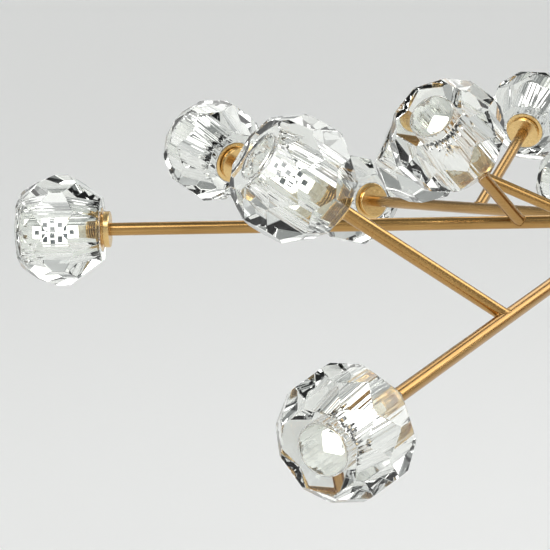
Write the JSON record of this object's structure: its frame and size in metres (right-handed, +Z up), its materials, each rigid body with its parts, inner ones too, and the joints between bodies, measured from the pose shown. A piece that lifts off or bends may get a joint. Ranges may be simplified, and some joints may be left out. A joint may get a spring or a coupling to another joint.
{
  "type": "multi arm chandelier",
  "caption": "Hanging chandelier: branching satin brass arms turn in a central hub, and every branch ends in a screw-on faceted crystal globe over a pin lamp.",
  "frame": {"origin": "centre of the bracket's ceiling face, on the stem's axis", "axes": "+Z up along the stem, out of the ceiling face; +X along arm 1 and along the bracket; -Y is the viewer's side"},
  "size_m": [1.1404, 1.0122, 0.7384],
  "materials": {
    "satin_brass": "brushed, clear lacquered",
    "zinc_steel": "zinc plated",
    "crystal": "cut and polished",
    "socket_ceramic": "unglazed steatite",
    "lamp_body": "opal white",
    "cable_sheath": "smooth sheath",
    "lead_insulation": "smooth sleeve"
  },
  "bodies": {
    "ceiling": {"ceiling_bracket": "zinc_steel", "ceiling_nipple": "zinc_steel", "swivel_cup": "satin_brass", "swivel_nut": "satin_brass"},
    "canopy": {"canopy": "satin_brass", "canopy_ring": "satin_brass"},
    "pendant": {"swivel_spindle": "zinc_steel", "stem": "satin_brass", "hub_body": "satin_brass", "hub_cover": "satin_brass", "finial": "satin_brass", "supply_wiring": "cable_sheath"},
    "arm_1": {"arm_1_frame": "satin_brass", "arm_1_holders": "satin_brass", "arm_1_sockets": "socket_ceramic", "arm_1_bulbs": "lamp_body", "arm_1_leads": "lead_insulation"},
    "globe_1_tip": {"globe_1_tip": "crystal"},
    "globe_1_outer": {"globe_1_outer": "crystal"},
    "globe_1_inner": {"globe_1_inner": "crystal"},
    "arm_2": {"arm_2_frame": "satin_brass", "arm_2_holders": "satin_brass", "arm_2_sockets": "socket_ceramic", "arm_2_bulbs": "lamp_body", "arm_2_leads": "lead_insulation"},
    "globe_2_tip": {"globe_2_tip": "crystal"},
    "globe_2_outer": {"globe_2_outer": "crystal"},
    "globe_2_inner": {"globe_2_inner": "crystal"},
    "arm_3": {"arm_3_frame": "satin_brass", "arm_3_holders": "satin_brass", "arm_3_sockets": "socket_ceramic", "arm_3_bulbs": "lamp_body", "arm_3_leads": "lead_insulation"},
    "globe_3_tip": {"globe_3_tip": "crystal"},
    "globe_3_outer": {"globe_3_outer": "crystal"},
    "globe_3_inner": {"globe_3_inner": "crystal"},
    "arm_4": {"arm_4_frame": "satin_brass", "arm_4_holders": "satin_brass", "arm_4_sockets": "socket_ceramic", "arm_4_bulbs": "lamp_body", "arm_4_leads": "lead_insulation"},
    "globe_4_tip": {"globe_4_tip": "crystal"},
    "globe_4_outer": {"globe_4_outer": "crystal"},
    "globe_4_inner": {"globe_4_inner": "crystal"},
    "arm_5": {"arm_5_frame": "satin_brass", "arm_5_holders": "satin_brass", "arm_5_sockets": "socket_ceramic", "arm_5_bulbs": "lamp_body", "arm_5_leads": "lead_insulation"},
    "globe_5_tip": {"globe_5_tip": "crystal"},
    "globe_5_outer": {"globe_5_outer": "crystal"},
    "globe_5_inner": {"globe_5_inner": "crystal"},
    "arm_6": {"arm_6_frame": "satin_brass", "arm_6_holders": "satin_brass", "arm_6_sockets": "socket_ceramic", "arm_6_bulbs": "lamp_body", "arm_6_leads": "lead_insulation"},
    "globe_6_tip": {"globe_6_tip": "crystal"},
    "globe_6_outer": {"globe_6_outer": "crystal"},
    "globe_6_inner": {"globe_6_inner": "crystal"}
  },
  "joints": [
    {"name": "canopy_slide", "type": "slide", "parent": "ceiling", "child": "canopy", "axis": [0, 0, -1], "range_m": [0, 0.54]},
    {"name": "pendant_turn", "type": "hinge", "parent": "ceiling", "child": "pendant", "pos_m": [0, 0, -0.031], "axis": [0, 0, 1], "range_deg": [-175, 175]},
    {"name": "arm_1_roll", "type": "hinge", "parent": "pendant", "child": "arm_1", "pos_m": [0.03599, 0, -0.62094], "axis": [0.9997, 0, -0.0262], "range_deg": [-20, 20]},
    {"name": "globe_1_tip_unscrew", "type": "hinge", "parent": "arm_1", "child": "globe_1_tip", "pos_m": [0.53082, 0, -0.6339], "axis": [0.9997, 0, -0.0262], "range_deg": [0, 1080]},
    {"name": "globe_1_outer_unscrew", "type": "hinge", "parent": "arm_1", "child": "globe_1_outer", "pos_m": [0.40219, -0.17486, -0.58692], "axis": [0.5786, -0.7948, 0.1831], "range_deg": [0, 1080]},
    {"name": "globe_1_inner_unscrew", "type": "hinge", "parent": "arm_1", "child": "globe_1_inner", "pos_m": [0.18116, 0.09914, -0.52897], "axis": [0.4623, 0.6438, 0.6098], "range_deg": [0, 1080]},
    {"name": "arm_2_roll", "type": "hinge", "parent": "pendant", "child": "arm_2", "pos_m": [0.01785, 0.03092, -0.62457], "axis": [0.4959, 0.859, -0.1271], "range_deg": [-20, 20]},
    {"name": "globe_2_tip_unscrew", "type": "hinge", "parent": "arm_2", "child": "globe_2_tip", "pos_m": [0.26335, 0.45613, -0.68747], "axis": [0.4959, 0.859, -0.1271], "range_deg": [0, 1080]},
    {"name": "globe_2_outer_unscrew", "type": "hinge", "parent": "arm_2", "child": "globe_2_outer", "pos_m": [0.30608, 0.30333, -0.53206], "axis": [0.7714, 0.305, 0.5586], "range_deg": [0, 1080]},
    {"name": "globe_2_inner_unscrew", "type": "hinge", "parent": "arm_2", "child": "globe_2_inner", "pos_m": [-0.02877, 0.22376, -0.62605], "axis": [-0.541, 0.8394, 0.0515], "range_deg": [0, 1080]},
    {"name": "arm_3_roll", "type": "hinge", "parent": "pendant", "child": "arm_3", "pos_m": [-0.01785, 0.03092, -0.62457], "axis": [-0.4959, 0.859, -0.1271], "range_deg": [-20, 20]},
    {"name": "globe_3_tip_unscrew", "type": "hinge", "parent": "arm_3", "child": "globe_3_tip", "pos_m": [-0.26335, 0.45613, -0.68747], "axis": [-0.4959, 0.859, -0.1271], "range_deg": [0, 1080]},
    {"name": "globe_3_outer_unscrew", "type": "hinge", "parent": "arm_3", "child": "globe_3_outer", "pos_m": [-0.06654, 0.43349, -0.58706], "axis": [0.3175, 0.8967, 0.3086], "range_deg": [0, 1080]},
    {"name": "globe_3_inner_unscrew", "type": "hinge", "parent": "arm_3", "child": "globe_3_inner", "pos_m": [-0.19638, 0.10142, -0.57436], "axis": [-0.9209, 0.045, 0.3871], "range_deg": [0, 1080]},
    {"name": "arm_4_roll", "type": "hinge", "parent": "pendant", "child": "arm_4", "pos_m": [-0.03599, 0, -0.62094], "axis": [-0.9997, 0, -0.0262], "range_deg": [-20, 20]},
    {"name": "globe_4_tip_unscrew", "type": "hinge", "parent": "arm_4", "child": "globe_4_tip", "pos_m": [-0.53082, 0, -0.6339], "axis": [-0.9997, 0, -0.0262], "range_deg": [0, 1080]},
    {"name": "globe_4_outer_unscrew", "type": "hinge", "parent": "arm_4", "child": "globe_4_outer", "pos_m": [-0.40219, 0.17486, -0.58692], "axis": [-0.5786, 0.7948, 0.1831], "range_deg": [0, 1080]},
    {"name": "globe_4_inner_unscrew", "type": "hinge", "parent": "arm_4", "child": "globe_4_inner", "pos_m": [-0.18116, -0.09914, -0.52897], "axis": [-0.4623, -0.6438, 0.6098], "range_deg": [0, 1080]},
    {"name": "arm_5_roll", "type": "hinge", "parent": "pendant", "child": "arm_5", "pos_m": [-0.01785, -0.03092, -0.62457], "axis": [-0.4959, -0.859, -0.1271], "range_deg": [-20, 20]},
    {"name": "globe_5_tip_unscrew", "type": "hinge", "parent": "arm_5", "child": "globe_5_tip", "pos_m": [-0.26335, -0.45613, -0.68747], "axis": [-0.4959, -0.859, -0.1271], "range_deg": [0, 1080]},
    {"name": "globe_5_outer_unscrew", "type": "hinge", "parent": "arm_5", "child": "globe_5_outer", "pos_m": [-0.30608, -0.30333, -0.53206], "axis": [-0.7714, -0.305, 0.5586], "range_deg": [0, 1080]},
    {"name": "globe_5_inner_unscrew", "type": "hinge", "parent": "arm_5", "child": "globe_5_inner", "pos_m": [0.02877, -0.22376, -0.62605], "axis": [0.541, -0.8394, 0.0515], "range_deg": [0, 1080]},
    {"name": "arm_6_roll", "type": "hinge", "parent": "pendant", "child": "arm_6", "pos_m": [0.01785, -0.03092, -0.62457], "axis": [0.4959, -0.859, -0.1271], "range_deg": [-20, 20]},
    {"name": "globe_6_tip_unscrew", "type": "hinge", "parent": "arm_6", "child": "globe_6_tip", "pos_m": [0.26335, -0.45613, -0.68747], "axis": [0.4959, -0.859, -0.1271], "range_deg": [0, 1080]},
    {"name": "globe_6_outer_unscrew", "type": "hinge", "parent": "arm_6", "child": "globe_6_outer", "pos_m": [0.06654, -0.43349, -0.58706], "axis": [-0.3175, -0.8967, 0.3086], "range_deg": [0, 1080]},
    {"name": "globe_6_inner_unscrew", "type": "hinge", "parent": "arm_6", "child": "globe_6_inner", "pos_m": [0.19638, -0.10142, -0.57436], "axis": [0.9209, -0.045, 0.3871], "range_deg": [0, 1080]}
  ]
}
